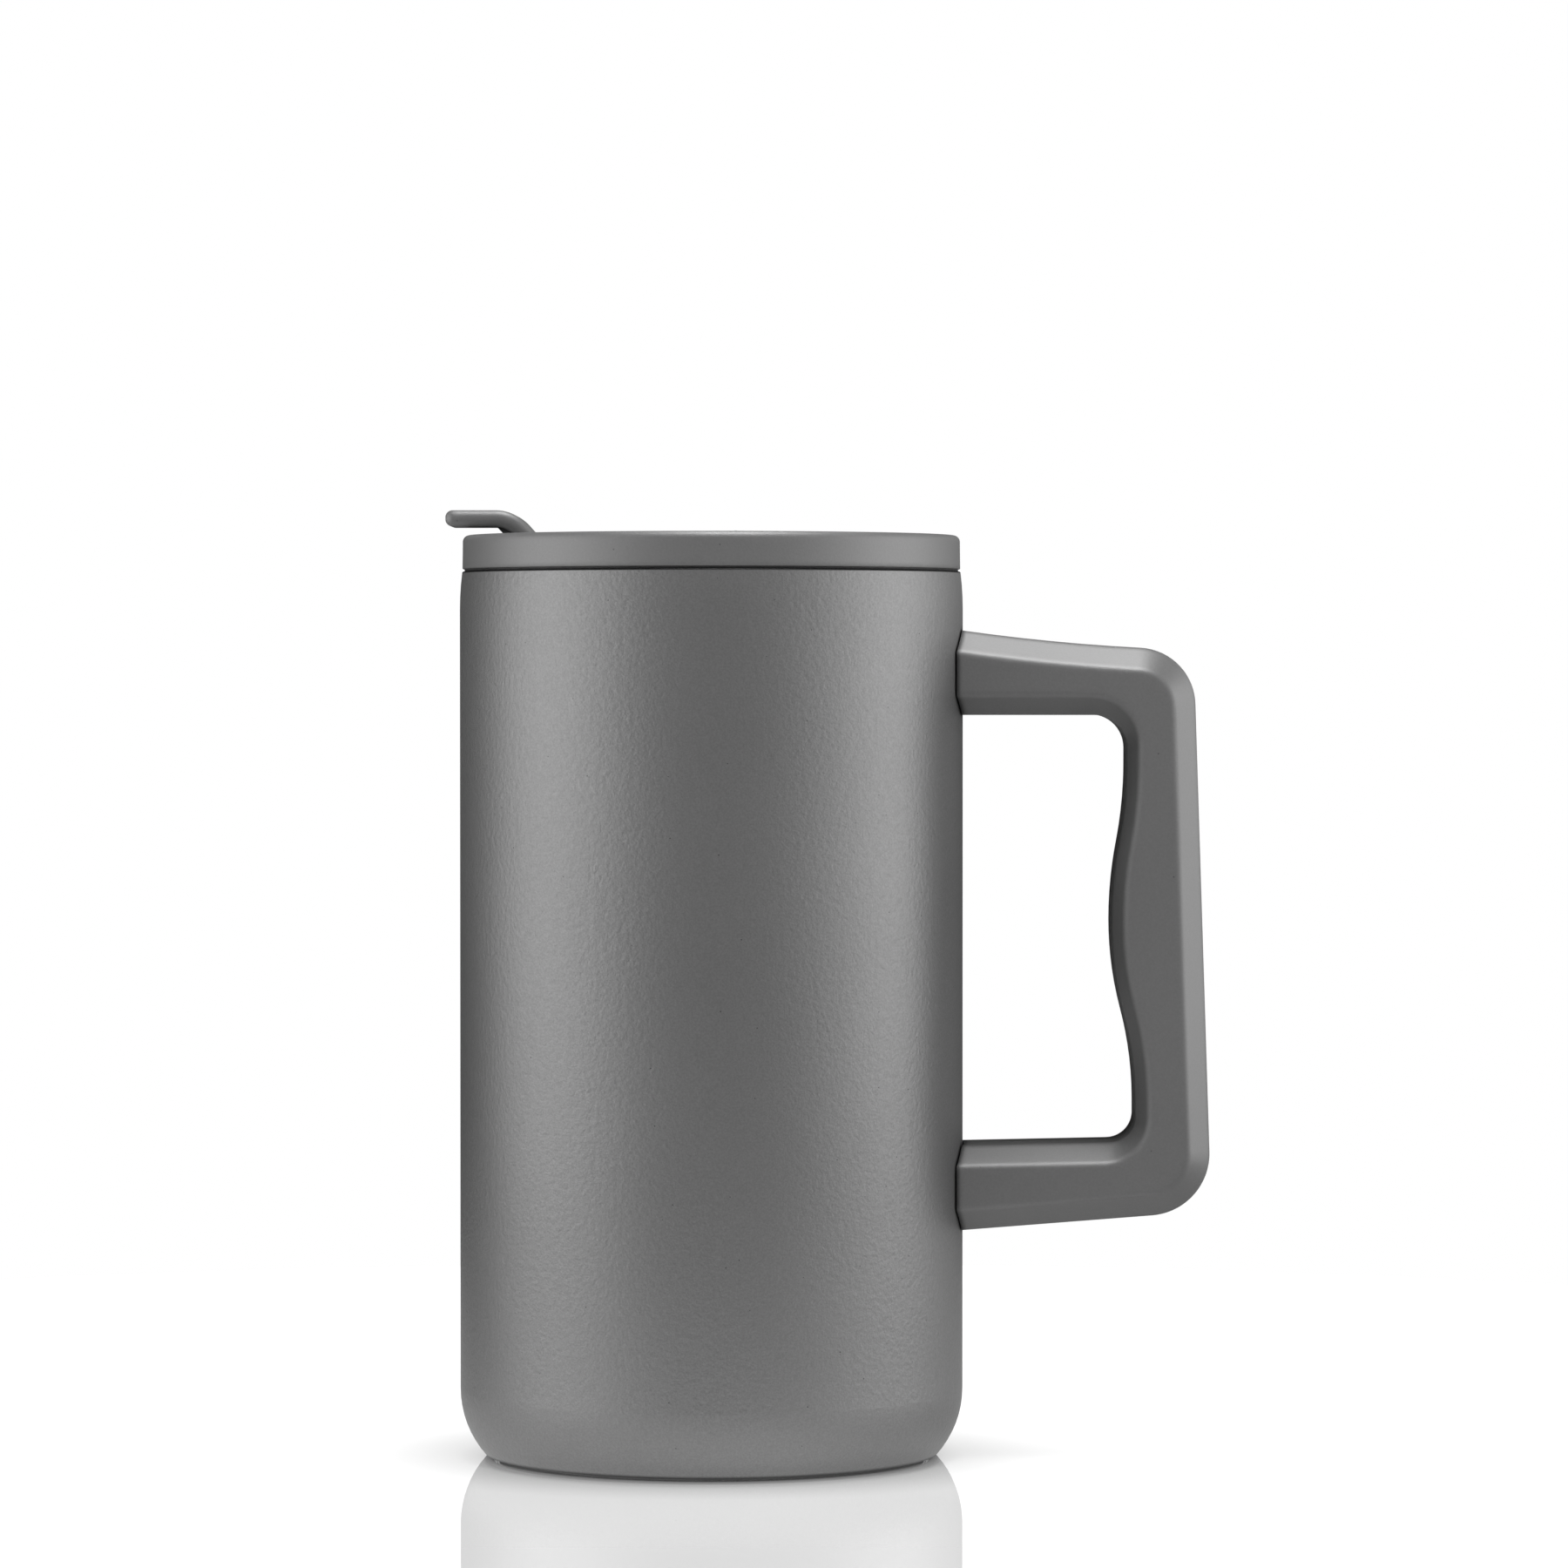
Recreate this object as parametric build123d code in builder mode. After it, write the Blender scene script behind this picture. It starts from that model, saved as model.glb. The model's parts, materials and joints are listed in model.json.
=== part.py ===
"""Insulated growler mug with a D-shaped handle and a press-in flip-tab lid.

Units are millimetres. The origin is the centre of the base on the surface it
stands on, +Z is up, the handle points along +X and the flip tab along -X.
"""

import os
from math import sqrt

from build123d import *

os.makedirs("parts", exist_ok=True)

# ---------------------------------------------------------------- dimensions
# Outer shell
body_radius = 61.0
wall = 0.9  # sheet of the outer shell and its base pan
foot_curve_radius = 23.7  # large bottom curve of the outer shell
foot_curve_height = 16.5  # where that curve leaves the straight side
shell_bottom = 0.8  # the steel stands this far off the table, on its pad
shell_lip_radius = 53.9  # upright lip that the base pan is welded into
shell_flange = 1.6  # thickness at the turned-in edge of the foot
shoulder_start = 205.4
shoulder_pull_in = 0.55
shoulder_bevel = 0.2
seam_thickening = 1.2  # the wall thickens this much towards the seam
body_top = 214.5
seam_radius = 58.0  # weld between the shell and the inner vessel's lip

# Inner vessel
mouth_radius = 55.5
mouth_round = 0.6
vessel_wall = 0.8
vessel_floor = 15.0
vessel_corner = 12.0
vessel_weld = 30.0  # height of the weld between the wall and the bottom

# Base
pan_top = 5.0
pan_dimple_radius = 8.0
pan_dimple_rise = 1.5
pan_dimple_inset = 0.4  # the dimple is this much narrower below than above
evacuation_radius = 1.0
bead_radius = 3.0
bead_drop = 1.1
cap_sheet = 0.8
cap_gap = 0.1
pad_radius = 51.6
pad_thickness = 1.4
pad_gap = 0.2  # between the pad's top and the pan's rim
pad_edge_round = 0.5
pad_groove_radii = [24.0, 40.0]
pad_groove_half = 1.5
pad_groove_depth = 0.5

# Getter
getter_x = 20.0
getter_radius = 4.0
getter_height = 2.7
strap = 0.5
strap_half_width = 3.0
strap_belly = 5.0
strap_foot = 11.0

# Handle outline, seen from the side. The top of the upper arm is a slow curve,
# and the inside of the bar swells towards the palm.
handle_root_x = 50.0  # the arms are drawn into the body, then trimmed
top_at_root = 201.9
top_at_middle = (80.6, 197.85)
spine_top = (116.5, 195.6)
spine_bottom = (120.9, 60.0)
bottom_at_root = 54.5
lower_arm_top = (75.6, 76.7)  # height at the root and at the bar
upper_arm_underside = 179.85
bar_top = (100.45, 168.0)
bar_swell = (96.83, 130.0)
bar_foot = (102.56, 86.0)
outer_corner_radii = (14.0, 15.0)  # each pair is the upper, then the lower
inner_corner_radii = (8.0, 6.3)

# Handle section
handle_half_depth = 16.3  # parting plane to the flat front face
handle_flat_half = 9.5  # half width of the flat outer edge
outer_chamfer = 5.45
arm_chamfer = 4.7
bar_chamfer = 2.6
face_outer_radii = (8.6, 9.6)
face_inner_radii = (12.0, 11.0)
face_edge_round = 1.5
flat_edge_round = 1.2
parting_bevel = 0.25
handle_wall = 4.5
cavity_half_depth = 11.0
cavity_outer_radii = (9.5, 10.5)
cavity_inner_radii = (12.5, 10.8)
handle_gap = 0.3  # shadow gap between the handle and the body

# Handle screws, their plugs and the brackets
arm_screw_x = 77.0
upper_arm_z = 189.2
lower_arm_z = 66.3
screw_places = [
    (arm_screw_x, upper_arm_z),
    (arm_screw_x, lower_arm_z),
    (105.5, 184.8),
    (108.5, 70.5),
]
boss_radius = 4.0
pilot_depth = 8.0
screw_shank_radius = 1.45
screw_head_radius = 3.0
screw_head_height = 2.4
screw_seat = 10.3  # depth of the screw head's seat, from the parting plane
screw_tip = -7.0
screw_clearance = 0.2
recess_length = 3.4  # cross recess of the screw head
recess_width = 0.8
recess_depth = 1.4
plug_seat_radius = 3.2
plug_fit = 0.05
plug_air = 0.3  # space between the screw head and its plug
plug_edge_round = 0.3
bracket_sheet = 1.8
bracket_half_width = 8.0
bracket_half_height = 4.4
tongue_half = 1.25
tongue_half_height = 3.8
tongue_start = 62.0
tongue_end = 84.0
tongue_corner = 2.0

# Lid cover
lid_radius = 60.35
rim_draft = 0.1
rim_outer_round = 1.6
rim_lower_round = 0.25
rim_inner_round = 1.2
lid_bottom = 215.1
lid_top = 223.3
rim_inner_radius = 54.2
dish_floor = 219.0
dish_thickness = 2.4
dish_round = 1.0
seat_outer = 59.85  # the rim rests on the body inside this radius
seat_inner = 55.1
seat_lead_in = 0.5
well_depth = 0.6  # shallow wells around the spout and the vent
well_margin = 2.0

# Lid plug and gasket
plug_radius = 54.6
plug_joint = 210.0  # where the lower cup is welded to the cover
plug_bottom = 196.5
plug_wall = 2.0
plug_foot_round = 2.5
groove_bottom = 202.6
groove_top = 206.6
groove_radius = 52.4
tube_wall = 1.5
gasket_band_radius = 53.8
gasket_lip_radius = 55.2
gasket_side_gap = 0.1
gasket_lip_heights = [203.5, 205.7]
gasket_lip_half = 0.5
gasket_lip_round = 0.45

# Spout and vent
spout_x = -38.0
spout_length = 16.0  # across the mug, along Y
spout_width = 9.0
vent_x = -14.0
vent_radius = 1.5

# Hinge
hinge_x = 6.0
hinge_height = 221.9
hinge_pin_radius = 1.25
hinge_pin_inset = 0.2
hinge_pin_bevel = 0.25
hinge_clearance = 0.05
barrel_radius = 2.3
barrel_half = 12.0
ear_gap = 0.4
ear_width = 4.4
ear_foot_half = 4.2
ear_root = 0.5  # the ears start this far inside the dish

# Flip cap
cap_half_width = 11.0
cap_edge_round = 1.7
arm_bottom = 219.6
arm_top = 223.1
arm_corner_radius = 3.0
tab_tip = -64.1
tab_bottom = 225.35
tab_top = 229.25
tab_corner_radius = 2.0
bend_x = -51.9  # centre of the outer bend that carries the tab over the rim
bend_radius = 10.0
bend_angle = 48.0
inner_bend_x = -52.5
inner_bend_radius = 7.0
web_half_width = 7.0
web_left = (-52.2, 225.75)
web_foot = (-47.2, 220.4)
web_foot_length = 2.0
web_top_x = -46.9

# Stoppers
stem_radius = 1.6
stem_spacing = 8.0
stem_height = 1.8
vent_stem_radius = 1.0
flange_bottom = 218.75
flange_margin = 1.3
stopper_clearance = 0.6
stopper_taper = 0.6
stopper_tip = 216.2
vent_tip_radius = 1.1
vent_tip = 217.0

on_floor = (Align.CENTER, Align.CENTER, Align.MIN)


# ------------------------------------------------------------------- helpers
def finish(part, name):
    """Label a finished piece and write it to its own STEP file."""
    part.label = name
    export_step(part, f"parts/{name}.step")


def reach(radius, centre_height, height):
    """Horizontal reach of a circle of the given radius at a height."""
    return sqrt(radius**2 - (centre_height - height) ** 2)


def midpoint(a, b):
    """Point halfway between two points."""
    return ((a[0] + b[0]) / 2, (a[1] + b[1]) / 2)


def at_depth(edges, depth):
    """Pick the edges that lie wholly in the plane Y = -depth."""
    tolerance = 1e-3
    return edges.filter_by(
        lambda edge: abs(edge.bounding_box().min.Y + depth) < tolerance
        and abs(edge.bounding_box().max.Y + depth) < tolerance
    )


def spout_sketch(height, grow):
    """Sketch the spout's outline at a height, grown by an amount all round."""
    with BuildSketch(Plane.XY.offset(height)) as outline:
        with Locations((spout_x, 0)):
            SlotOverall(spout_length + 2 * grow, spout_width + 2 * grow, rotation=90)
    return outline.sketch


def vent_sketch(height, grow):
    """Sketch the vent's outline at a height, grown by an amount all round."""
    with BuildSketch(Plane.XY.offset(height)) as outline:
        with Locations((vent_x, 0)):
            Circle(vent_radius + grow)
    return outline.sketch


# ------------------------------------------------------------- vacuum vessel
# Outer shell: straight sides, a slight shoulder and a deep curve at the foot.
curve_centre = body_radius - foot_curve_radius
foot_edge = curve_centre + reach(foot_curve_radius, foot_curve_height, shell_bottom)
flange_top = shell_bottom + shell_flange
inner_curve_radius = foot_curve_radius - wall
inner_foot = curve_centre + reach(inner_curve_radius, foot_curve_height, flange_top)
shell_inside = body_radius - wall
shoulder_radius = body_radius - shoulder_pull_in

with BuildPart() as outer_shell:
    with BuildSketch(Plane.XZ):
        with BuildLine():
            side = Line((body_radius, foot_curve_height), (body_radius, shoulder_start))
            shoulder = TangentArc(
                side @ 1, (shoulder_radius, body_top - shoulder_bevel), tangent=side % 1
            )
            Polyline(
                shoulder @ 1,
                (shoulder_radius - shoulder_bevel, body_top),
                (seam_radius, body_top),
                (seam_radius, body_top - wall),
                (shell_inside - seam_thickening, body_top - wall),
                (shell_inside, body_top - wall - seam_thickening),
                (shell_inside, foot_curve_height),
            )
            RadiusArc(
                (shell_inside, foot_curve_height), (inner_foot, flange_top), inner_curve_radius
            )
            Polyline(
                (inner_foot, flange_top),
                (shell_lip_radius, flange_top),
                (shell_lip_radius, pan_top),
                (shell_lip_radius - wall, pan_top),
                (shell_lip_radius - wall, shell_bottom),
                (foot_edge, shell_bottom),
            )
            RadiusArc(
                (foot_edge, shell_bottom), (body_radius, foot_curve_height), -foot_curve_radius
            )
        make_face()
    revolve(axis=Axis.Z)
finish(outer_shell.part, "outer_shell")

# Inner vessel: the liner's straight wall, with a lip welded to the shell.
vessel_radius = mouth_radius + vessel_wall

with BuildPart() as inner_vessel:
    with BuildSketch(Plane.XZ):
        with BuildLine():
            Line((mouth_radius, vessel_weld), (mouth_radius, body_top - mouth_round))
            RadiusArc(
                (mouth_radius, body_top - mouth_round),
                (mouth_radius + mouth_round, body_top),
                mouth_round,
            )
            Polyline(
                (mouth_radius + mouth_round, body_top),
                (seam_radius, body_top),
                (seam_radius, body_top - vessel_wall),
                (vessel_radius, body_top - vessel_wall),
                (vessel_radius, vessel_weld),
                (mouth_radius, vessel_weld),
            )
        make_face()
    revolve(axis=Axis.Z)
finish(inner_vessel.part, "inner_vessel")

# Bottom of the inner vessel: a drawn cup, welded under the wall.
corner_height = vessel_floor + vessel_corner
floor_edge = mouth_radius - vessel_corner
floor_underside = vessel_floor - vessel_wall

with BuildPart() as inner_vessel_bottom:
    with BuildSketch(Plane.XZ):
        with BuildLine():
            Polyline(
                (mouth_radius, corner_height),
                (mouth_radius, vessel_weld),
                (vessel_radius, vessel_weld),
                (vessel_radius, corner_height),
            )
            RadiusArc(
                (vessel_radius, corner_height),
                (floor_edge, floor_underside),
                vessel_corner + vessel_wall,
            )
            Polyline(
                (floor_edge, floor_underside),
                (0, floor_underside),
                (0, vessel_floor),
                (floor_edge, vessel_floor),
            )
            RadiusArc((floor_edge, vessel_floor), (mouth_radius, corner_height), -vessel_corner)
        make_face()
    revolve(axis=Axis.Z)
finish(inner_vessel_bottom.part, "inner_vessel_bottom")

# Base pan: closes the vacuum space; its dimple holds the seal.
pan_radius = shell_lip_radius - wall
pan_rim_bottom = pad_thickness + pad_gap
dimple_top = pan_top + pan_dimple_rise
dimple_underside = dimple_top - wall
dimple_foot = pan_dimple_radius + pan_dimple_rise

with BuildPart() as outer_base_pan:
    with BuildSketch(Plane.XZ):
        with BuildLine():
            Polyline(
                (evacuation_radius, dimple_top),
                (pan_dimple_radius, dimple_top),
                (dimple_foot, pan_top),
                (pan_radius, pan_top),
                (pan_radius, pan_rim_bottom),
                (pan_radius - wall, pan_rim_bottom),
                (pan_radius - wall, pan_top - wall),
                (dimple_foot - pan_dimple_inset, pan_top - wall),
                (pan_dimple_radius - pan_dimple_inset, dimple_underside),
                (evacuation_radius, dimple_underside),
                close=True,
            )
        make_face()
    revolve(axis=Axis.Z)
finish(outer_base_pan.part, "outer_base_pan")

# Vacuum seal: a fused bead that plugs the evacuation hole from below.
bead_tip = dimple_underside - bead_drop
bead_curve = (bead_radius**2 + bead_drop**2) / (2 * bead_drop)

with BuildPart() as vacuum_seal_bead:
    with BuildSketch(Plane.XZ):
        with BuildLine():
            Polyline(
                (0, bead_tip),
                (0, dimple_top),
                (evacuation_radius, dimple_top),
                (evacuation_radius, dimple_underside),
                (bead_radius, dimple_underside),
            )
            RadiusArc((bead_radius, dimple_underside), (0, bead_tip), bead_curve)
        make_face()
    revolve(axis=Axis.Z)
finish(vacuum_seal_bead.part, "vacuum_seal_bead")

# Getter: a pellet that soaks up stray gas, held to the liner by a bent strap.
getter_bottom = floor_underside - getter_height

with BuildPart() as getter_pellet:
    with BuildSketch(Plane.XY.offset(getter_bottom)):
        with Locations((getter_x, 0)):
            Circle(getter_radius)
    extrude(amount=getter_height)
finish(getter_pellet.part, "getter_pellet")

with BuildPart() as getter_bracket:
    with BuildSketch(Plane.XZ):
        with BuildLine():
            Polyline(
                (getter_x - strap_foot, floor_underside),
                (getter_x - strap_belly - strap, floor_underside),
                (getter_x - strap_belly, getter_bottom),
                (getter_x + strap_belly, getter_bottom),
                (getter_x + strap_belly + strap, floor_underside),
                (getter_x + strap_foot, floor_underside),
                (getter_x + strap_foot, floor_underside - strap),
                (getter_x + strap_belly + 2 * strap, floor_underside - strap),
                (getter_x + strap_belly + strap, getter_bottom - strap),
                (getter_x - strap_belly - strap, getter_bottom - strap),
                (getter_x - strap_belly - 2 * strap, floor_underside - strap),
                (getter_x - strap_foot, floor_underside - strap),
                close=True,
            )
        make_face()
    extrude(amount=strap_half_width, both=True)
finish(getter_bracket.part, "getter_bracket")

# Base cap: a shallow steel cover that hides the pan and its seal.
cap_rim_radius = pan_radius - wall - cap_gap

with BuildPart() as base_cap:
    with BuildSketch(Plane.XZ):
        with BuildLine():
            Polyline(
                (0, pad_thickness),
                (cap_rim_radius, pad_thickness),
                (cap_rim_radius, pan_top - wall),
                (cap_rim_radius - cap_sheet, pan_top - wall),
                (cap_rim_radius - cap_sheet, pad_thickness + cap_sheet),
                (0, pad_thickness + cap_sheet),
                close=True,
            )
        make_face()
    revolve(axis=Axis.Z)
finish(base_cap.part, "base_cap")

# Base pad: a silicone disc with two shallow grooves, the only part that
# touches the table.
with BuildPart() as base_pad:
    Cylinder(pad_radius, pad_thickness, align=on_floor)
    fillet(base_pad.edges().group_by(Axis.Z)[0], pad_edge_round)
    for radius in pad_groove_radii:
        with BuildSketch(Plane.XY):
            Circle(radius + pad_groove_half)
            Circle(radius - pad_groove_half, mode=Mode.SUBTRACT)
        extrude(amount=pad_groove_depth, mode=Mode.SUBTRACT)
finish(base_pad.part, "base_pad")

# ------------------------------------------------------------------- handle
handle_trim_radius = body_radius + handle_gap
bar_outline_end = (0, 1)  # the bar's inner edge leaves its foot straight up


def handle_outline(plane, outer, arm, bar, outer_radii, inner_radii):
    """Sketch the D on a plane, inside its silhouette by the given insets.

    outer is the inset of the outside edge, arm that of the arms' inner edges
    and bar that of the bar's inner edge. Each pair of radii is upper, lower.
    """
    top_corner = (spine_top[0] - outer, spine_top[1] - outer)
    bottom_corner = (spine_bottom[0] - outer, spine_bottom[1] + outer)
    lower_inner = (bar_foot[0] + bar, lower_arm_top[1] - arm)
    upper_inner = (bar_top[0] + bar, upper_arm_underside + arm)
    upper_end = (bar_top[0] + bar, bar_top[1])
    swell = (bar_swell[0] + bar, bar_swell[1])
    lower_end = (bar_foot[0] + bar, bar_foot[1])
    with BuildSketch(plane) as outline:
        with BuildLine():
            ThreePointArc(
                (handle_root_x, top_at_root - outer),
                (top_at_middle[0], top_at_middle[1] - outer),
                top_corner,
            )
            Polyline(
                top_corner,
                bottom_corner,
                (handle_root_x, bottom_at_root + outer),
                (handle_root_x, lower_arm_top[0] - arm),
                lower_inner,
                lower_end,
            )
            hollow = TangentArc(lower_end, midpoint(lower_end, swell), tangent=bar_outline_end)
            rise = TangentArc(hollow @ 1, swell, tangent=hollow % 1)
            fall = TangentArc(swell, midpoint(swell, upper_end), tangent=rise % 1)
            TangentArc(fall @ 1, upper_end, tangent=fall % 1)
            Polyline(
                upper_end,
                upper_inner,
                (handle_root_x, upper_arm_underside + arm),
                (handle_root_x, top_at_root - outer),
            )
        make_face()
        corners = (top_corner, bottom_corner, upper_inner, lower_inner)
        for corner, radius in zip(corners, (*outer_radii, *inner_radii)):
            fillet(outline.vertices().sort_by_distance(corner)[0], radius)
    return outline.sketch


def add_handle_half(part):
    """Build the hollow front half of the handle in the part's own builder."""
    silhouette = handle_outline(
        Plane.XZ.offset(handle_flat_half), 0, 0, 0, outer_corner_radii, inner_corner_radii
    )
    face = handle_outline(
        Plane.XZ.offset(handle_half_depth),
        outer_chamfer,
        arm_chamfer,
        bar_chamfer,
        face_outer_radii,
        face_inner_radii,
    )
    cavity = handle_outline(
        Plane.XZ, handle_wall, handle_wall, handle_wall, cavity_outer_radii, cavity_inner_radii
    )
    extrude(silhouette, amount=-handle_flat_half)
    loft([silhouette.face(), face.face()], ruled=True)
    fillet(at_depth(part.edges(), handle_half_depth), face_edge_round)
    fillet(at_depth(part.edges(), handle_flat_half), flat_edge_round)
    chamfer(at_depth(part.edges(), 0), parting_bevel)
    extrude(cavity, amount=cavity_half_depth, mode=Mode.SUBTRACT)


def add_screw_boss(place, bore_radius, bore_depth):
    """Add a screw boss inside a handle half, and bore it.

    The bosses in the arms stop at the bracket's tongue, the others at the
    parting plane.
    """
    boss_end = tongue_half if place[0] == arm_screw_x else 0.0
    with BuildSketch(Plane.XZ.offset(boss_end)) as boss:
        with Locations(place):
            Circle(boss_radius)
    with BuildSketch(Plane.XZ) as bore:
        with Locations(place):
            Circle(bore_radius)
    extrude(boss.sketch, amount=cavity_half_depth - boss_end)
    extrude(bore.sketch, amount=bore_depth, mode=Mode.SUBTRACT)


# Front shell: blind screw bosses.
with BuildPart() as handle_front_shell:
    add_handle_half(handle_front_shell)
    for place in screw_places:
        add_screw_boss(place, screw_shank_radius, pilot_depth)
    Cylinder(handle_trim_radius, lid_top, align=on_floor, mode=Mode.SUBTRACT)
finish(handle_front_shell.part, "handle_front_shell")

# Rear shell: its bosses are bored through, with a seat for each screw head.
with BuildPart() as handle_rear_shell:
    add_handle_half(handle_rear_shell)
    for place in screw_places:
        add_screw_boss(place, screw_shank_radius + screw_clearance, handle_half_depth)
        with BuildSketch(Plane.XZ.offset(screw_seat)):
            with Locations(place):
                Circle(plug_seat_radius)
        extrude(amount=handle_half_depth - screw_seat, mode=Mode.SUBTRACT)
    Cylinder(handle_trim_radius, lid_top, align=on_floor, mode=Mode.SUBTRACT)
    mirror(about=Plane.XZ, mode=Mode.REPLACE)
finish(handle_rear_shell.part, "handle_rear_shell")

# Handle screws: pan heads with a cross recess, driven from the rear.
screw_head_top = screw_seat + screw_head_height

with BuildPart() as handle_screws:
    for place in screw_places:
        with BuildSketch(Plane.XZ.offset(-screw_seat)):
            with Locations(place):
                Circle(screw_shank_radius)
        extrude(amount=screw_seat - screw_tip)
        with BuildSketch(Plane.XZ.offset(-screw_head_top)):
            with Locations(place):
                Circle(screw_head_radius)
        extrude(amount=screw_head_height)
        with BuildSketch(Plane.XZ.offset(-screw_head_top)):
            with Locations(place):
                Rectangle(recess_length, recess_width)
                Rectangle(recess_width, recess_length)
        extrude(amount=recess_depth, mode=Mode.SUBTRACT)
finish(handle_screws.part, "handle_screws")

# Screw plugs: flush plastic discs that close the screw holes.
with BuildPart() as screw_plugs:
    for place in screw_places:
        with BuildSketch(Plane.XZ.offset(-handle_half_depth)):
            with Locations(place):
                Circle(plug_seat_radius - plug_fit)
        extrude(amount=handle_half_depth - screw_head_top - plug_air)
    fillet(screw_plugs.edges().group_by(Axis.Y)[-1], plug_edge_round)
finish(screw_plugs.part, "screw_plugs")


# Brackets: a curved foot welded to the shell and a tongue up each arm.
def add_bracket(centre_z):
    """Build one handle bracket around the height of its screw."""
    with BuildSketch(Plane.XY.offset(centre_z - bracket_half_height)) as foot:
        Circle(body_radius + bracket_sheet)
        Circle(body_radius, mode=Mode.SUBTRACT)
        with Locations((body_radius, 0)):
            Rectangle(2 * bracket_half_width, 2 * bracket_half_width, mode=Mode.INTERSECT)
    extrude(foot.sketch, amount=2 * bracket_half_height)
    with BuildSketch(Plane.XZ) as tongue:
        with Locations(midpoint((tongue_start, centre_z), (tongue_end, centre_z))):
            RectangleRounded(tongue_end - tongue_start, 2 * tongue_half_height, tongue_corner)
        with Locations((arm_screw_x, centre_z)):
            Circle(screw_shank_radius + screw_clearance, mode=Mode.SUBTRACT)
    extrude(tongue.sketch, amount=tongue_half, both=True)


with BuildPart() as upper_handle_bracket:
    add_bracket(upper_arm_z)
finish(upper_handle_bracket.part, "upper_handle_bracket")

with BuildPart() as lower_handle_bracket:
    add_bracket(lower_arm_z)
finish(lower_handle_bracket.part, "lower_handle_bracket")

# ---------------------------------------------------------------------- lid
# Cover: a thick rim around a dish, with a skirt that enters the mouth.
dish_underside = dish_floor - dish_thickness
skirt_inner = plug_radius - plug_wall
well_floor = dish_floor - well_depth
ear_inner = barrel_half + ear_gap
ear_outer = ear_inner + ear_width
ear_bottom = dish_floor - ear_root

with BuildPart() as lid_cover:
    with BuildSketch(Plane.XZ) as section:
        with BuildLine():
            Polyline(
                (0, dish_floor),
                (rim_inner_radius, dish_floor),
                (rim_inner_radius, lid_top),
                (lid_radius - rim_draft, lid_top),
                (lid_radius, lid_bottom),
                (seat_outer, lid_bottom),
                (seat_outer, body_top),
                (seat_inner, body_top),
                (plug_radius, body_top - seat_lead_in),
                (plug_radius, plug_joint),
                (skirt_inner, plug_joint),
                (skirt_inner, dish_underside),
                (0, dish_underside),
                close=True,
            )
        make_face()
        corner_rounds = [
            ((rim_inner_radius, dish_floor), dish_round),
            ((rim_inner_radius, lid_top), rim_inner_round),
            ((lid_radius - rim_draft, lid_top), rim_outer_round),
            ((lid_radius, lid_bottom), rim_lower_round),
        ]
        for corner, radius in corner_rounds:
            fillet(section.vertices().sort_by_distance(corner)[0], radius)
    revolve(axis=Axis.Z)
    for side in (1, -1):
        with BuildSketch(Plane.XZ.offset(-side * ear_inner)):
            with BuildLine():
                Polyline(
                    (hinge_x - barrel_radius, hinge_height),
                    (hinge_x - ear_foot_half, ear_bottom),
                    (hinge_x + ear_foot_half, ear_bottom),
                    (hinge_x + barrel_radius, hinge_height),
                )
                ThreePointArc(
                    (hinge_x + barrel_radius, hinge_height),
                    (hinge_x, hinge_height + barrel_radius),
                    (hinge_x - barrel_radius, hinge_height),
                )
            make_face()
        extrude(amount=-side * ear_width)
    with BuildSketch(Plane.XZ):
        with Locations((hinge_x, hinge_height)):
            Circle(hinge_pin_radius)
    extrude(amount=ear_outer, both=True, mode=Mode.SUBTRACT)
    spout_well = spout_sketch(well_floor, well_margin)
    vent_well = vent_sketch(well_floor, 2 * well_margin)
    extrude(spout_well, amount=well_depth, mode=Mode.SUBTRACT)
    extrude(vent_well, amount=well_depth, mode=Mode.SUBTRACT)
    extrude(spout_sketch(dish_underside, 0), amount=dish_thickness, mode=Mode.SUBTRACT)
    extrude(vent_sketch(dish_underside, 0), amount=dish_thickness, mode=Mode.SUBTRACT)
finish(lid_cover.part, "lid_cover")

# Plug: the lower cup of the lid, with the gasket groove, and the spout and
# vent tubes that run up to the cover.
plug_floor = plug_bottom + plug_wall
plug_inner = groove_radius - plug_wall
tube_height = dish_underside - plug_bottom

with BuildPart() as lid_plug:
    with BuildSketch(Plane.XZ) as section:
        with BuildLine():
            Polyline(
                (0, plug_bottom),
                (plug_radius, plug_bottom),
                (plug_radius, groove_bottom),
                (groove_radius, groove_bottom),
                (groove_radius, groove_top),
                (plug_radius, groove_top),
                (plug_radius, plug_joint),
                (plug_inner, plug_joint),
                (plug_inner, plug_floor),
                (0, plug_floor),
                close=True,
            )
        make_face()
        foot = section.vertices().sort_by_distance((plug_radius, plug_bottom))[0]
        fillet(foot, plug_foot_round)
    revolve(axis=Axis.Z)
    extrude(spout_sketch(plug_bottom, tube_wall), amount=tube_height)
    extrude(vent_sketch(plug_bottom, tube_wall), amount=tube_height)
    extrude(spout_sketch(plug_bottom, 0), amount=tube_height, mode=Mode.SUBTRACT)
    extrude(vent_sketch(plug_bottom, 0), amount=tube_height, mode=Mode.SUBTRACT)
finish(lid_plug.part, "lid_plug")

# Gasket: a silicone band with two lips.
gasket_height = groove_top - groove_bottom - 2 * gasket_side_gap
band_middle = midpoint((groove_radius, groove_bottom), (gasket_band_radius, groove_top))

with BuildPart() as lid_gasket:
    with BuildSketch(Plane.XZ) as section:
        with Locations(band_middle):
            Rectangle(gasket_band_radius - groove_radius, gasket_height)
        for height in gasket_lip_heights:
            with Locations(midpoint((groove_radius, height), (gasket_lip_radius, height))):
                Rectangle(gasket_lip_radius - groove_radius, 2 * gasket_lip_half)
        fillet(section.vertices().group_by(Axis.X)[-1], gasket_lip_round)
    revolve(axis=Axis.Z)
finish(lid_gasket.part, "lid_gasket")

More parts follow.
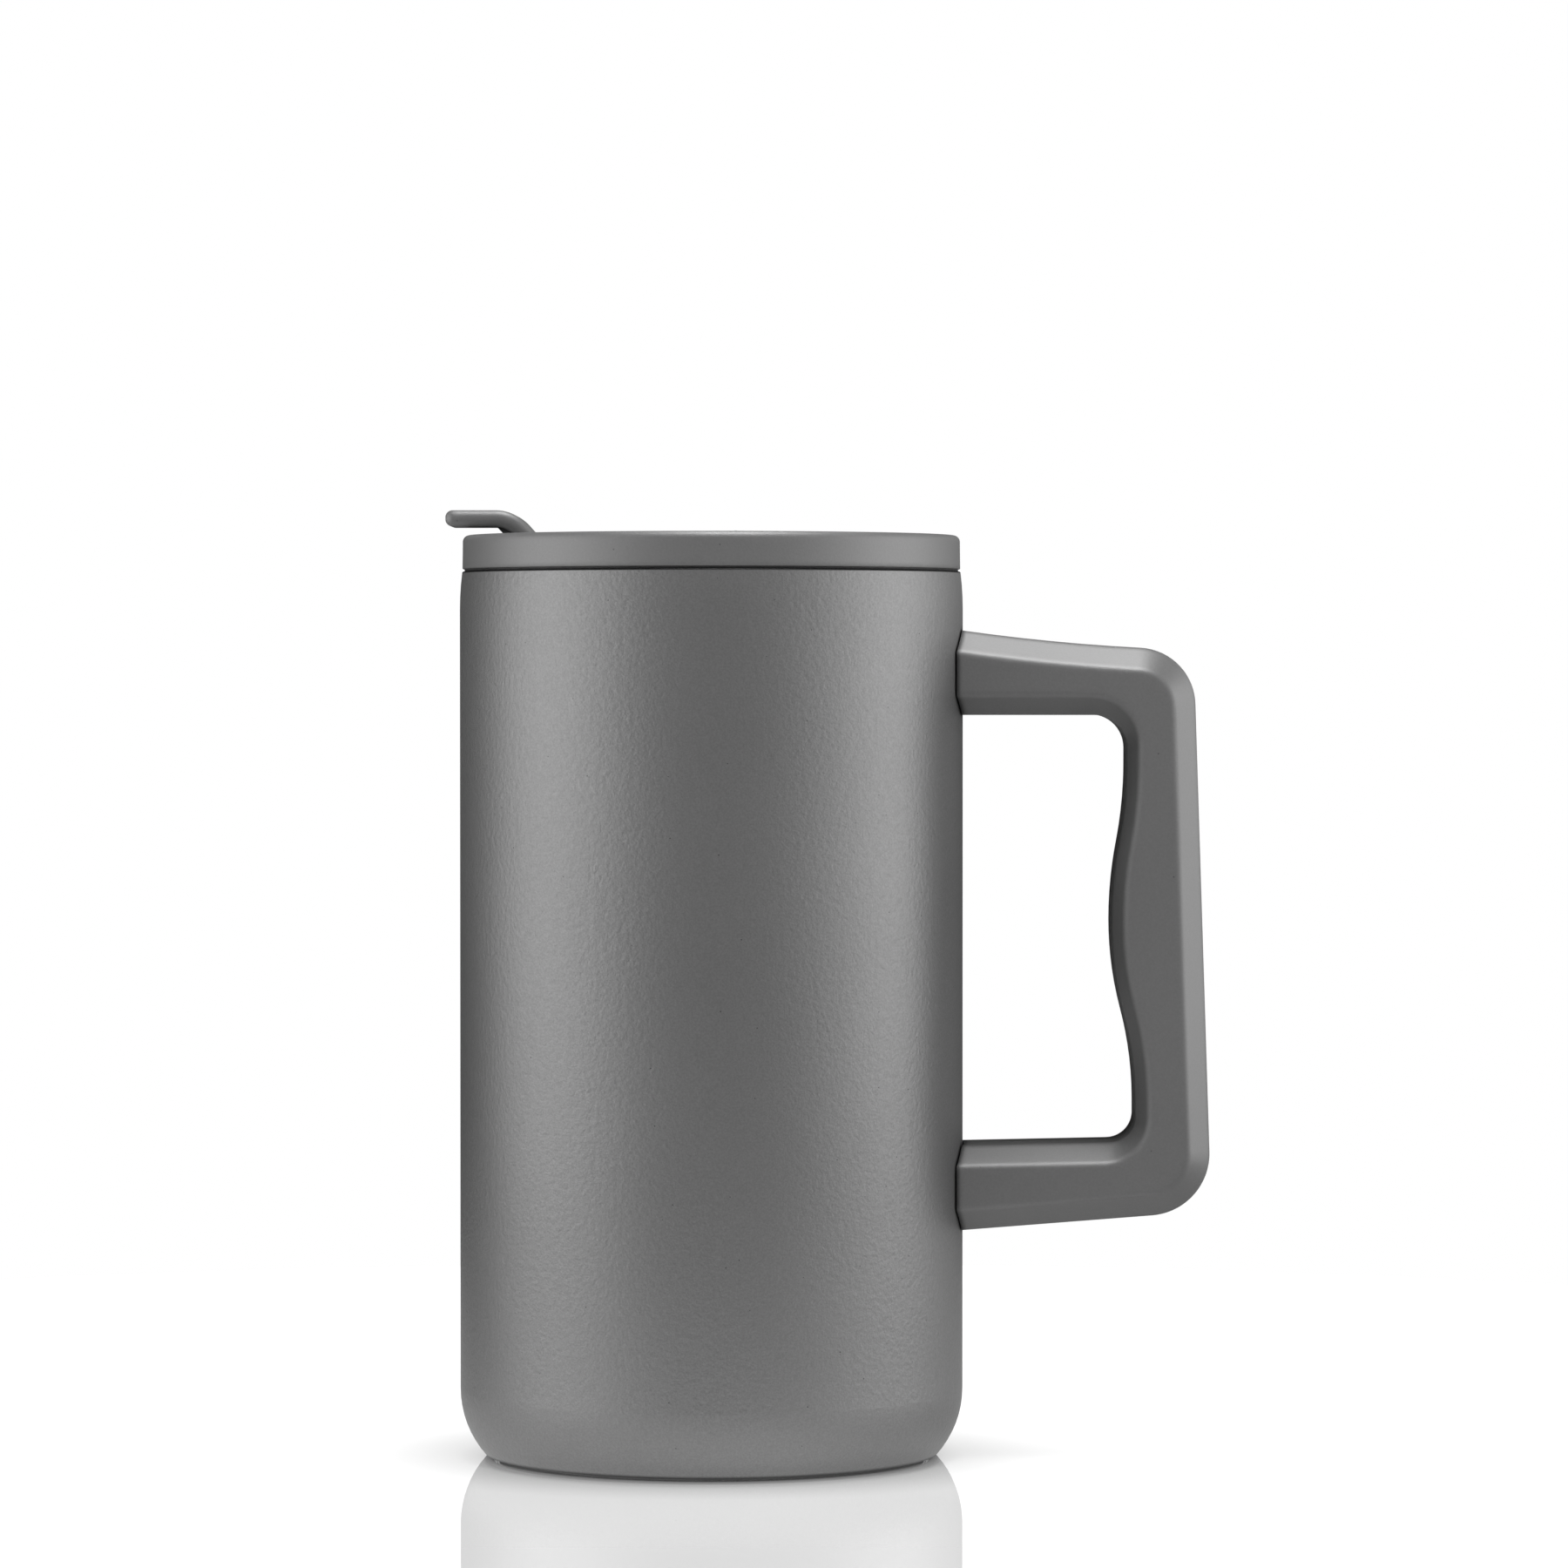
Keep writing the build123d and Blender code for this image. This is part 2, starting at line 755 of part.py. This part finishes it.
# Hinge pin: stainless wire pressed into both ears.
with BuildPart() as hinge_pin:
    with BuildSketch(Plane.XZ):
        with Locations((hinge_x, hinge_height)):
            Circle(hinge_pin_radius)
    extrude(amount=ear_outer - hinge_pin_inset, both=True)
    chamfer(hinge_pin.edges(), hinge_pin_bevel)
finish(hinge_pin.part, "hinge_pin")

# ----------------------------------------------------------------- flip cap
# Arm, bend and tab in one moulding. The tab overhangs the rim, and a web
# under the bend stiffens it.
inner_bend_z = tab_bottom - inner_bend_radius
inner_bend_end = inner_bend_x + reach(inner_bend_radius, inner_bend_z, arm_bottom)
bend_centre = Vector(bend_x, tab_top - bend_radius)
bend_end = bend_centre + Vector(0, bend_radius).rotate(Axis.Z, -bend_angle)
slope = Vector(1, 0).rotate(Axis.Z, -bend_angle)
arm_corner = bend_end + slope * ((arm_top - bend_end.Y) / slope.Y)
edge_zone = 1.9  # edges nearer than this to the sides or the tip are rounded
barrel_zone = 0.25  # edges nearer than this to the hinge line stay sharp


def is_cap_rim(edge):
    """Tell whether an edge runs along the cap's sides or tip."""
    middle = edge.center()
    at_side = abs(middle.Y) > cap_half_width - edge_zone
    at_tip = middle.X < tab_tip + edge_zone
    return middle.X < hinge_x - barrel_zone and (at_side or at_tip)


def stem_sketches():
    """Sketch the stoppers' stems where they meet the arm."""
    with BuildSketch(Plane.XY.offset(arm_bottom)) as spout_stems:
        with Locations((spout_x, 0)):
            with GridLocations(0, stem_spacing, 1, 2):
                Circle(stem_radius)
    with BuildSketch(Plane.XY.offset(arm_bottom)) as vent_stem:
        with Locations((vent_x, 0)):
            Circle(vent_stem_radius)
    return spout_stems.sketch, vent_stem.sketch


spout_stems, vent_stem = stem_sketches()

with BuildPart() as flip_cap:
    with BuildSketch(Plane.XZ) as section:
        with BuildLine():
            Line((hinge_x, arm_bottom), (inner_bend_end, arm_bottom))
            RadiusArc(
                (inner_bend_end, arm_bottom), (inner_bend_x, tab_bottom), -inner_bend_radius
            )
            Polyline(
                (inner_bend_x, tab_bottom),
                (tab_tip, tab_bottom),
                (tab_tip, tab_top),
                (bend_x, tab_top),
            )
            RadiusArc((bend_x, tab_top), (bend_end.X, bend_end.Y), bend_radius)
            Polyline(
                (bend_end.X, bend_end.Y),
                (arm_corner.X, arm_corner.Y),
                (hinge_x, arm_top),
                (hinge_x, arm_bottom),
            )
        make_face()
        corner = section.vertices().sort_by_distance((arm_corner.X, arm_corner.Y))[0]
        fillet(corner, arm_corner_radius)
    extrude(amount=cap_half_width, both=True)
    fillet(flip_cap.edges().filter_by(Axis.Z).group_by(Axis.X)[0], tab_corner_radius)
    rims = flip_cap.edges().filter_by(is_cap_rim)
    fillet(rims.filter_by(Axis.Z, reverse=True), cap_edge_round)
    with BuildSketch(Plane.XZ):
        with BuildLine():
            Polyline(
                web_left,
                web_foot,
                (web_foot[0] + web_foot_length, web_foot[1]),
                (web_top_x, tab_bottom),
                close=True,
            )
        make_face()
    extrude(amount=web_half_width, both=True)
    with BuildSketch(Plane.XZ):
        with Locations((hinge_x, hinge_height)):
            Circle(barrel_radius)
    extrude(amount=barrel_half, both=True)
    with BuildSketch(Plane.XZ):
        with Locations((hinge_x, hinge_height)):
            Circle(hinge_pin_radius + hinge_clearance)
    extrude(amount=barrel_half, both=True, mode=Mode.SUBTRACT)
    extrude(spout_stems, amount=stem_height, mode=Mode.SUBTRACT)
    extrude(vent_stem, amount=stem_height, mode=Mode.SUBTRACT)
finish(flip_cap.part, "flip_cap")

# Stoppers: silicone plugs under the arm, held by stems in blind holes.
flange_height = arm_bottom - flange_bottom

with BuildPart() as spout_stopper:
    extrude(spout_sketch(flange_bottom, flange_margin), amount=flange_height)
    plug_top = spout_sketch(flange_bottom, -stopper_clearance)
    plug_tip = spout_sketch(stopper_tip, -stopper_clearance - stopper_taper)
    loft([plug_top.face(), plug_tip.face()])
    extrude(spout_stems, amount=stem_height)
finish(spout_stopper.part, "spout_stopper")

with BuildPart() as vent_stopper:
    extrude(vent_sketch(flange_bottom, 2 * flange_margin), amount=flange_height)
    with Locations((vent_x, 0, vent_tip)):
        Cylinder(vent_tip_radius, flange_bottom - vent_tip, align=on_floor)
    extrude(vent_stem, amount=stem_height)
finish(vent_stopper.part, "vent_stopper")
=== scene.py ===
"""Looks for the insulated growler mug: materials, studio and camera.

Everything is in metres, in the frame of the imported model: the origin is the
centre of the base, +Z is up, the handle points along +X and the camera looks
along +Y.
"""

import json
import math

import bpy
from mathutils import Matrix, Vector


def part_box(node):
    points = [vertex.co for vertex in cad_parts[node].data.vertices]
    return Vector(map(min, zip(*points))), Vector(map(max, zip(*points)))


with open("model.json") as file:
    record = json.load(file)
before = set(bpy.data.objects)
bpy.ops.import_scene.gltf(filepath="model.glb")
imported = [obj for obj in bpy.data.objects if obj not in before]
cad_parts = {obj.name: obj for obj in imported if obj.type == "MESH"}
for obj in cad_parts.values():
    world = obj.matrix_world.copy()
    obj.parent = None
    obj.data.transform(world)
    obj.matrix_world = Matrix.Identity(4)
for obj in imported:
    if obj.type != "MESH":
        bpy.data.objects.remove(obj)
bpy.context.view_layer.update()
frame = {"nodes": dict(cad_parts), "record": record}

scene = bpy.context.scene
MM = 0.001

# Where a mix node keeps its first value, its second value and its result.
MIX_SOCKETS = {"FLOAT": (2, 3, 0), "RGBA": (6, 7, 2)}

# Brightness of the studio's walls by compass angle in degrees: 0 is the
# camera's side, negative is the tab's side and positive the handle's side.
WALLS = [
    (-180, 0.0),
    (-125, 0.0),
    (-110, 0.7),
    (-95, 2.8),
    (-65, 2.8),
    (-30, 0.42),
    (0, 0.52),
    (35, 0.5),
    (65, 1.75),
    (95, 3.4),
    (125, 0.8),
    (150, 0.15),
    (180, 0.0),
]


def grey(value):
    """A neutral colour."""
    return (value, value, value, 1.0)


# --------------------------------------------------------------- node trees
class NodeTree:
    """A node tree, with short ways to add and link nodes."""

    def __init__(self, tree):
        self.tree = tree
        self.tree.nodes.clear()

    def add(self, kind, **settings):
        """A new node, with its properties or its sockets' values set."""
        node = self.tree.nodes.new(kind)
        for key, value in settings.items():
            if hasattr(node, key):
                setattr(node, key, value)
            else:
                node.inputs[key.replace("_", " ").title()].default_value = value
        return node

    def link(self, source, target):
        """Link one socket to another."""
        self.tree.links.new(source, target)

    def feed(self, value, target):
        """Link a socket to another node's output, or set it to a value."""
        if isinstance(value, bpy.types.NodeSocket):
            self.link(value, target)
        else:
            target.default_value = value

    def maths(self, operation, *values):
        """A maths node whose inputs are numbers or other nodes' outputs."""
        node = self.add("ShaderNodeMath", operation=operation)
        for target, value in zip(node.inputs, values):
            self.feed(value, target)
        return node.outputs[0]

    def remap(self, source, low, high, start=0.0, end=1.0, curve="LINEAR"):
        """A value between start and end, spread between two numbers."""
        node = self.add("ShaderNodeMapRange", clamp=True, interpolation_type=curve)
        node.inputs["From Min"].default_value = start
        node.inputs["From Max"].default_value = end
        node.inputs["To Min"].default_value = low
        node.inputs["To Max"].default_value = high
        self.link(source, node.inputs["Value"])
        return node.outputs["Result"]

    def mix(self, first, second, share, kind="RGBA", blend="MIX"):
        """Two colours or numbers mixed, with the given share of the second."""
        first_socket, second_socket, result = MIX_SOCKETS[kind]
        node = self.add("ShaderNodeMix", data_type=kind, blend_type=blend)
        self.feed(share, node.inputs[0])
        self.feed(first, node.inputs[first_socket])
        self.feed(second, node.inputs[second_socket])
        return node.outputs[result]


class Shader(NodeTree):
    """A material's node tree, around one principled surface."""

    def __init__(self, name):
        self.material = bpy.data.materials.new(name)
        self.material.use_nodes = True
        super().__init__(self.material.node_tree)
        output = self.add("ShaderNodeOutputMaterial")
        self.bsdf = self.add("ShaderNodeBsdfPrincipled")
        self.link(self.bsdf.outputs["BSDF"], output.inputs["Surface"])
        self.position = self.add("ShaderNodeTexCoord").outputs["Object"]

    def surface(self, **inputs):
        """Set the surface's inputs to values or to other nodes' outputs."""
        for key, value in inputs.items():
            name = key.replace("_", " ").title().replace("Ior", "IOR")
            self.feed(value, self.bsdf.inputs[name])

    def stretched(self, scale):
        """The object's coordinates, scaled along each axis."""
        mapping = self.add("ShaderNodeMapping")
        mapping.inputs["Scale"].default_value = scale
        self.link(self.position, mapping.inputs["Vector"])
        return mapping.outputs["Vector"]

    def noise(self, size, detail=2.0, roughness=0.5, vector=None):
        """Noise with features of the given size in metres."""
        node = self.add("ShaderNodeTexNoise", scale=1.0 / size, detail=detail, roughness=roughness)
        self.link(vector or self.position, node.inputs["Vector"])
        return node.outputs["Fac"]

    def greys(self, source, low, high):
        """Greys between two tones, for the middle of a noise's range."""
        range_start, range_end = 0.3, 0.7
        node = self.add("ShaderNodeValToRGB")
        first, last = node.color_ramp.elements
        first.position, last.position = range_start, range_end
        first.color, last.color = grey(low), grey(high)
        self.link(source, node.inputs["Fac"])
        return node.outputs["Color"]

    def specks(self, colour, tone, spacing, size):
        """Rare tiny specks of dust on a colour, a share of their spacing wide."""
        cells = self.add("ShaderNodeTexVoronoi", scale=1.0 / spacing)
        self.link(self.position, cells.inputs["Vector"])
        spot = self.maths("LESS_THAN", cells.outputs["Distance"], size)
        return self.mix(colour, grey(tone), spot)

    def dimmed(self, colour, share):
        """A colour multiplied by a grey value."""
        return self.mix(colour, share, 1.0, blend="MULTIPLY")

    def openness(self, reach, samples):
        """How open a point's surroundings are within a reach: 1 is fully open."""
        node = self.add("ShaderNodeAmbientOcclusion", samples=samples)
        node.inputs["Distance"].default_value = reach
        return node.outputs["AO"]

    def shaded(self, colour, reach):
        """Painted shade: a colour darkened by ambient occlusion in seams and corners narrower than
        the reach.
        """
        darkest, closed, clear = 0.05, 0.5, 0.95
        cover = self.openness(reach, samples=6)
        return self.dimmed(colour, self.remap(cover, darkest, 1.0, closed, clear))

    def painted_shade_above(self, colour, height, depth):
        """Painted shade: a colour that turns dark from the given height up, over a short depth."""
        darkest = 0.05
        axes = self.add("ShaderNodeSeparateXYZ")
        self.link(self.position, axes.inputs[0])
        share = self.remap(axes.outputs["Z"], 1.0, darkest, height, height + depth)
        return self.dimmed(colour, share)

    def rounded(self, radius):
        """The surface's normal, with its edges rounded over by the given radius."""
        node = self.add("ShaderNodeBevel", samples=6)
        node.inputs["Radius"].default_value = radius
        return node.outputs["Normal"]

    def bump(self, height, depth, strength=1.0, under=None):
        """A bump of the given depth in metres, on top of another if given."""
        node = self.add("ShaderNodeBump")
        node.inputs["Strength"].default_value = strength
        node.inputs["Distance"].default_value = depth
        self.link(height, node.inputs["Height"])
        if under is not None:
            self.link(under, node.inputs["Normal"])
        return node.outputs["Normal"]


# ---------------------------------------------------------------- materials
def powder_coat():
    """Dark-grey powder coat with a metallic sheen and a fine orange peel, with painted shade in
    its seams and on its top edge under the lid.
    """
    # Painted shade: the top band of the shell, under the lid, is darkened.
    painted_shade_band = 0.4 * MM  # the shell's small bevel under the lid, kept dark
    painted_shade_fade = 0.15 * MM
    painted_shade_reach = 1.5 * MM
    s = Shader("powder_coat")
    cloud = s.noise(45 * MM, detail=3.0)
    peel = s.noise(1.3 * MM, detail=2.0, roughness=0.6)
    grain = s.noise(0.45 * MM, detail=1.0)
    colour = s.mix(s.greys(cloud, 0.186, 0.204), s.greys(grain, 0.165, 0.225), share=0.5)
    colour = s.specks(colour, tone=0.08, spacing=5 * MM, size=0.035)
    shell_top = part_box("outer_shell")[1][2]
    # Painted shade: the shell's top edge under the lid is darkened so that it shows no highlight.
    colour = s.painted_shade_above(colour, shell_top - painted_shade_band, painted_shade_fade)
    coarse = s.bump(peel, 0.12 * MM)
    s.surface(
        # Painted shade: the colour darkens in seams and corners within the reach.
        base_color=s.shaded(colour, painted_shade_reach),
        metallic=0.75,
        roughness=s.remap(peel, 0.42, 0.52),
        normal=s.bump(grain, 0.02 * MM, under=coarse),
    )
    return s.material


def moulded_plastic(name, low, high, roughness=0.46):
    """Matte moulded plastic with a fine eroded texture, a few specks and painted shade in its
    seams and corners.
    """
    grain_contrast = 0.1
    roughness_spread = 0.04
    painted_shade_reach = 2 * MM
    edge_radius = 2 * MM
    s = Shader(name)
    cloud = s.noise(30 * MM, detail=3.0)
    grain = s.noise(0.5 * MM, detail=2.0)
    darker, lighter = low * (1 - grain_contrast), high * (1 + grain_contrast)
    colour = s.mix(s.greys(cloud, low, high), s.greys(grain, darker, lighter), share=0.4)
    colour = s.specks(colour, tone=0.05, spacing=7 * MM, size=0.03)
    s.surface(
        # Painted shade: the colour darkens in seams and corners within the reach.
        base_color=s.shaded(colour, painted_shade_reach),
        specular_ior_level=1.0,
        roughness=s.remap(grain, roughness - roughness_spread, roughness + roughness_spread),
        normal=s.bump(grain, 0.02 * MM, under=s.rounded(edge_radius)),
    )
    return s.material


def brushed_steel(name, tone, scale, roughness=0.28):
    """Stainless steel with fine scratches, drawn out by the given scale."""
    s = Shader(name)
    scratches = s.noise(1.0, detail=3.0, roughness=0.7, vector=s.stretched(scale))
    s.surface(
        base_color=s.greys(scratches, tone * 0.86, tone),
        metallic=1.0,
        roughness=s.remap(scratches, roughness - 0.06, roughness + 0.1),
        normal=s.bump(scratches, 0.006 * MM, strength=0.5),
    )
    return s.material


def silicone(name, tone):
    """Soft silicone rubber: matte with a faint dusty sheen."""
    s = Shader(name)
    dust = s.noise(6 * MM, detail=4.0)
    s.surface(
        base_color=s.greys(dust, tone * 0.88, tone * 1.12),
        roughness=0.62,
        normal=s.bump(s.noise(0.6 * MM), 0.01 * MM, strength=0.4),
    )
    return s.material


def dress_cad_nodes():
    """Give every CAD node its material."""
    handle = moulded_plastic("handle_plastic", 0.122, 0.137)
    lid = moulded_plastic("lid_plastic", 0.115, 0.13)
    # Scratches run round the vessel, and along X on the small steel pieces.
    round_vessel = (40, 40, 4000)
    along_x = (60, 3000, 3000)
    steel = brushed_steel("liner_steel", 0.62, round_vessel)
    bracket = brushed_steel("bracket_steel", 0.5, along_x)
    fastener = brushed_steel("fastener_steel", 0.6, along_x, roughness=0.22)
    seal = silicone("seal_silicone", 0.30)
    finishes = {
        "body_coating": powder_coat(),
        "liner_steel": steel,
        "base_steel": steel,
        "bracket_steel": bracket,
        "fastener_steel": fastener,
        "getter_alloy": bracket,
        "seal_glass": seal,
        "handle_plastic": handle,
        "lid_plastic": lid,
        "cap_plastic": lid,
        "plug_plastic": moulded_plastic("plug_plastic", 0.13, 0.15, roughness=0.42),
        "seal_silicone": seal,
        "base_silicone": silicone("base_silicone", 0.035),
    }
    for row in frame["record"]["subparts"]:
        node = frame["nodes"][row["node"]]
        node.data.materials.clear()
        node.data.materials.append(finishes[row["material_slot"]])


# ------------------------------------------------------------------- studio
def add_camera():
    """The camera of a product shot: long lens, a little above mid height."""
    place = (0.0176, -1.582, 0.1923)
    degrees_down = 1.06
    data = bpy.data.cameras.new("camera")
    data.sensor_width = 36.0
    data.lens = 149.6
    camera = bpy.data.objects.new("camera", data)
    camera.location = place
    camera.rotation_euler = (math.radians(90 - degrees_down), 0.0, 0.0)
    scene.collection.objects.link(camera)
    scene.camera = camera


def add_softbox(name, place, target, size, power):
    """A rectangular soft light that the camera doesn't see."""
    data = bpy.data.lights.new(name, "AREA")
    data.shape = "RECTANGLE"
    data.size, data.size_y = size
    data.energy = power
    light = bpy.data.objects.new(name, data)
    light.location = place
    direction = Vector(target) - Vector(place)
    light.rotation_euler = direction.to_track_quat("-Z", "Y").to_euler()
    light.visible_camera = False
    scene.collection.objects.link(light)


def wall_colour(studio, direction):
    """The colour of the studio's walls in a direction, all the way round."""
    towards_camera = studio.maths("MULTIPLY", direction.outputs["Y"], -1.0)
    angle = studio.maths("ARCTAN2", direction.outputs["X"], towards_camera)
    node = studio.add("ShaderNodeValToRGB")
    studio.link(studio.maths("MULTIPLY_ADD", angle, 1 / math.tau, 0.5), node.inputs["Fac"])
    ramp = node.color_ramp
    ramp.elements.remove(ramp.elements[0])
    for index, (degrees, tone) in enumerate(WALLS):
        position = degrees / 360 + 0.5
        element = ramp.elements.new(position) if index else ramp.elements[0]
        element.position = position
        element.color = grey(tone)
    return node.outputs["Color"]


def add_world():
    """A studio: white seen directly or in the floor, soft light walls for the rest."""
    ceiling_start, ceiling_end = 0.35, 0.65  # where the walls fade to a black ceiling
    world = bpy.data.worlds.new("studio")
    world.use_nodes = True
    studio = NodeTree(world.node_tree)
    direction = studio.add("ShaderNodeSeparateXYZ")
    studio.link(studio.add("ShaderNodeTexCoord").outputs["Generated"], direction.inputs[0])
    height = direction.outputs["Z"]
    room = studio.add("ShaderNodeBackground")
    studio.link(wall_colour(studio, direction), room.inputs["Color"])
    fade = studio.remap(height, 1.0, 0.0, ceiling_start, ceiling_end, curve="SMOOTHSTEP")
    studio.link(fade, room.inputs["Strength"])
    white = studio.add("ShaderNodeBackground")
    white.inputs["Color"].default_value = grey(1.0)
    path = studio.add("ShaderNodeLightPath").outputs
    sharp = studio.maths("MAXIMUM", path["Is Camera Ray"], path["Is Singular Ray"])
    mix = studio.add("ShaderNodeMixShader")
    studio.link(sharp, mix.inputs["Fac"])
    studio.link(room.outputs[0], mix.inputs[1])
    studio.link(white.outputs[0], mix.inputs[2])
    studio.link(mix.outputs[0], studio.add("ShaderNodeOutputWorld").inputs[0])
    scene.world = world
    scene.view_settings.view_transform = "Standard"


def add_floor():
    """A glossy white floor. Only the part near the mug's foot throws light on it, as a glowing
    patch that stands in for light bounced off the floor. Seen by the camera the floor glows white,
    with a painted contact shadow where it is closed in near the foot.
    """
    radius = 0.5
    contact_reach = 0.03
    white_from = 0.47  # the openness from which the floor is plain white
    glow_centre = (-0.03, -0.09, 0.0)
    glow_start, glow_end = 0.06, 0.22
    bpy.ops.mesh.primitive_circle_add(vertices=96, radius=radius, fill_type="NGON")
    floor = bpy.context.object
    floor.name = "floor"
    s = Shader("floor_white")
    # Painted contact shadow: the white glow seen by the camera fades where the floor is closed in
    # by the foot.
    seen = s.remap(s.openness(contact_reach, samples=8), 0.0, white_from)
    from_centre = s.add("ShaderNodeVectorMath", operation="DISTANCE")
    s.link(s.position, from_centre.inputs[0])
    from_centre.inputs[1].default_value = glow_centre
    glow = s.remap(from_centre.outputs["Value"], 0.8, 0.0, glow_start, glow_end)
    by_camera = s.add("ShaderNodeLightPath").outputs["Is Camera Ray"]
    s.surface(
        base_color=grey(0.3),
        roughness=0.0,
        ior=1.5,
        emission_color=grey(1.0),
        emission_strength=s.mix(glow, seen, by_camera, kind="FLOAT"),
    )
    floor.data.materials.append(s.material)


dress_cad_nodes()
add_camera()
add_world()
# One overhead softbox, a little in front of the mug. The room does the rest.
add_softbox("top_softbox", place=(0.1, -0.14, 1.4), target=(0, 0, 0.1), size=(0.5, 0.5), power=18)
add_floor()
